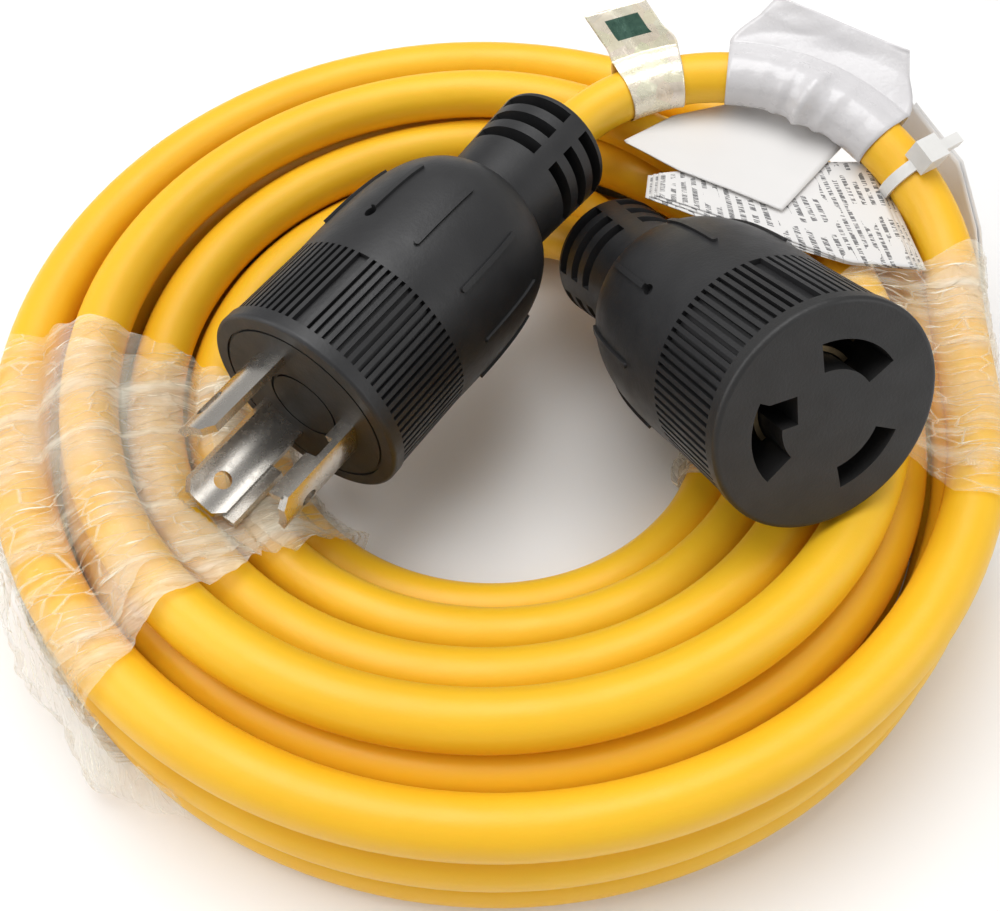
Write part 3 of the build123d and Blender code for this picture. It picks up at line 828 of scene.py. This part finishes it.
def foil():
    """Pearly foil tape with a green patch near its free end and crumpled glints."""
    mat, tree, shader = start_material("outdoor_tag_foil")
    coords = place_coords(tree)
    cells = add(tree, "TexVoronoi", {"Vector": coords, "Scale": 300.0})
    tint = add(tree, "HueSaturation", {"Hue": 0.5, "Saturation": 0.4, "Value": 1.0,
                                       "Color": cells.outputs["Color"]}).outputs[0]
    pearl = mix_color(tree, 0.3, (0.90, 0.80, 0.56, 1), tint)
    pearl = mix_color(tree, noise_of(tree, coords, 160.0, 4.0), pearl, (0.92, 0.86, 0.70, 1))
    parts = add(tree, "SeparateXYZ", {"Vector": sheet_uv(tree)})
    masks = []
    for socket, centre, half in ((parts.outputs["X"], 0.90, 0.052), (parts.outputs["Y"], 0.5, 0.27)):
        far = math_node(tree, "ABSOLUTE", math_node(tree, "SUBTRACT", socket, centre))
        masks.append(math_node(tree, "LESS_THAN", far, half))
    patch = math_node(tree, "MULTIPLY", *masks)
    green = mix_color(tree, noise_of(tree, coords, 900.0, 4.0), (0.02, 0.07, 0.05, 1), (0.1, 0.2, 0.15, 1))
    connect(tree, mix_color(tree, patch, pearl, green), shader.inputs["Base Color"])
    creases = noise_of(tree, coords, 500.0, 4.0, 0.6)
    connect(tree, ranged(tree, creases, 0.2, 0.4), shader.inputs["Roughness"])
    connect(tree, bumped(tree, creases, 0.0004, 0.5), shader.inputs["Normal"])
    shader.inputs["Metallic"].default_value = 0.4
    return mat


def build_labels(tail):
    tag_at = tail.nearest((0.0335, 0.0645, 0.0422))
    tag = flag_rows(tail, tag_at, 0.0066, -38, 0.0102, -0.0042, 0.0008, 0.0, 3.0)
    add_sheet("outdoor_tag_foil", tag, foil(), "outdoor_tag", 0.00012)
    label_at = tail.nearest((0.0658, 0.0596, 0.0444))
    label = flag_rows(tail, label_at, 0.0183, -48, 0.0085, -0.0008, 0.0009, 0.0014, 8.0, 0.2)
    add_sheet("flag_label_vinyl", label, vinyl(), "flag_label", 0.00014)

    upper = [(0.0272, 0.0535, 0.0372), (0.0385, 0.0622, 0.0368), (0.0558, 0.0668, 0.0372),
             (0.0752, 0.0532, 0.0372)]
    lower = [(0.0278, 0.0528, 0.0371), (0.0385, 0.0438, 0.0374), (0.0480, 0.0382, 0.0376),
             (0.0582, 0.0320, 0.0374)]
    card = patch_rows(upper, lower, 40, 28, 0.0003, 2.0)
    add_sheet("brand_card_front", card, paper("card_paper"), "brand_card", 0.00025)
    ruled = paper("leaflet_paper", 0.85, 22.0)
    for page in range(3):
        drop = 0.00032 * page
        push = 0.0011 * page
        upper = [(0.0340 - push, 0.0440, 0.0366 - drop), (0.0560, 0.0470, 0.0367 - drop),
                 (0.0790 + push, 0.0475 - push, 0.0366 - drop)]
        lower = [(0.0330 - push, 0.0375, 0.0364 - drop), (0.0500, 0.0290 - push, 0.0366 - drop),
                 (0.0700, 0.0185, 0.0363 - drop), (0.0835 + push, 0.0180, 0.0352 - drop)]
        rows = patch_rows(upper, lower, 44, 26, 0.00012, 5.0)
        add_sheet(f"leaflet_page_{page + 1}", rows, ruled, "leaflet" if page == 0 else None,
                  0.00012)
    plain = paper("leaflet_back_paper")
    for fold in range(2):
        out = 0.0009 * fold
        upper = [(0.0900 + out, 0.0620, 0.0405), (0.0968 + out, 0.0450, 0.0390),
                 (0.0985 + out, 0.0300, 0.0345), (0.0980 + out, 0.0170, 0.0300)]
        lower = [(0.0868 + out, 0.0610, 0.0305), (0.0945 + out, 0.0440, 0.0275),
                 (0.0970 + out, 0.0300, 0.0235), (0.0972 + out, 0.0180, 0.0195)]
        rows = patch_rows(upper, lower, 30, 10, 0.0002, 7.0 + fold)
        add_sheet(f"leaflet_fold_{fold + 1}", rows, plain, None, 0.00015)


# ---- put it together -------------------------------------------------------------------------------
def paint(names, mat):
    for name in names:
        obj = NODES[name]
        for s in obj.material_slots:
            s.material = mat
        if not obj.material_slots:
            obj.data.materials.append(mat)


def with_prefix(*starts):
    return [name for name in NODES if name.startswith(starts)]


build_camera()
build_stage()
cord = build_cord()
cord.data.materials.append(cord_jacket())

BLACK = plastic("moulded_pvc", (0.012, 0.012, 0.013, 1), (0.02, 0.02, 0.021, 1), 0.46, 0.06, 1500.0, 0.00004)
NYLON = plastic("nylon", (0.013, 0.013, 0.013, 1), (0.019, 0.018, 0.018, 1), 0.5, 0.07, 1900.0, 0.00005)
paint(with_prefix("plug_overmold", "connector_overmold", "plug_strain", "connector_strain"), BLACK)
NICKEL = metal("nickel_plate", (0.60, 0.56, 0.51, 1), (0.64, 0.61, 0.56, 1), 0.26, 0.03, 40.0)
# brass darkened well below its own colour: painted shade for the contacts deep in their slots
BRASS_WITH_PAINTED_SHADE = metal("spring_brass", (0.30, 0.22, 0.12, 1), (0.42, 0.32, 0.18, 1), 0.4, 0.1)
COPPER = metal("tinned_copper", (0.6, 0.58, 0.55, 1), (0.75, 0.73, 0.7, 1), 0.35, 0.1)
paint(with_prefix("plug_blade"), NICKEL)
paint(with_prefix("connector_contact"), BRASS_WITH_PAINTED_SHADE)
paint(with_prefix("plug_face", "connector_face", "connector_contact_base"), NYLON)
paint(with_prefix("plug_crimp", "connector_crimp"), COPPER)
paint(with_prefix("plug_jacket_end", "connector_jacket_end"), cord.data.materials[0])
TIE = plastic("clear_nylon", (0.70, 0.69, 0.66, 1), (0.82, 0.81, 0.79, 1), 0.34, 0.07, 1500.0, 0.00004)
paint(["cable_tie"], TIE)
CORES = {"ground": ("green_core", (0.010, 0.110, 0.030, 1), (0.020, 0.160, 0.050, 1)),
         "x": ("black_core", (0.012, 0.012, 0.012, 1), (0.022, 0.022, 0.022, 1)),
         "y": ("white_core", (0.70, 0.70, 0.67, 1), (0.80, 0.80, 0.77, 1))}
for end, (name, dark, light) in CORES.items():
    insulation = plastic(name, dark, light, 0.3, 0.06, 1300.0, 0.00003)
    paint([f"plug_core_{end}", f"connector_core_{end}"], insulation)

line = centreline(cord)
build_film(unwound(line))
build_labels(Tail(line))
bpy.context.view_layer.update()
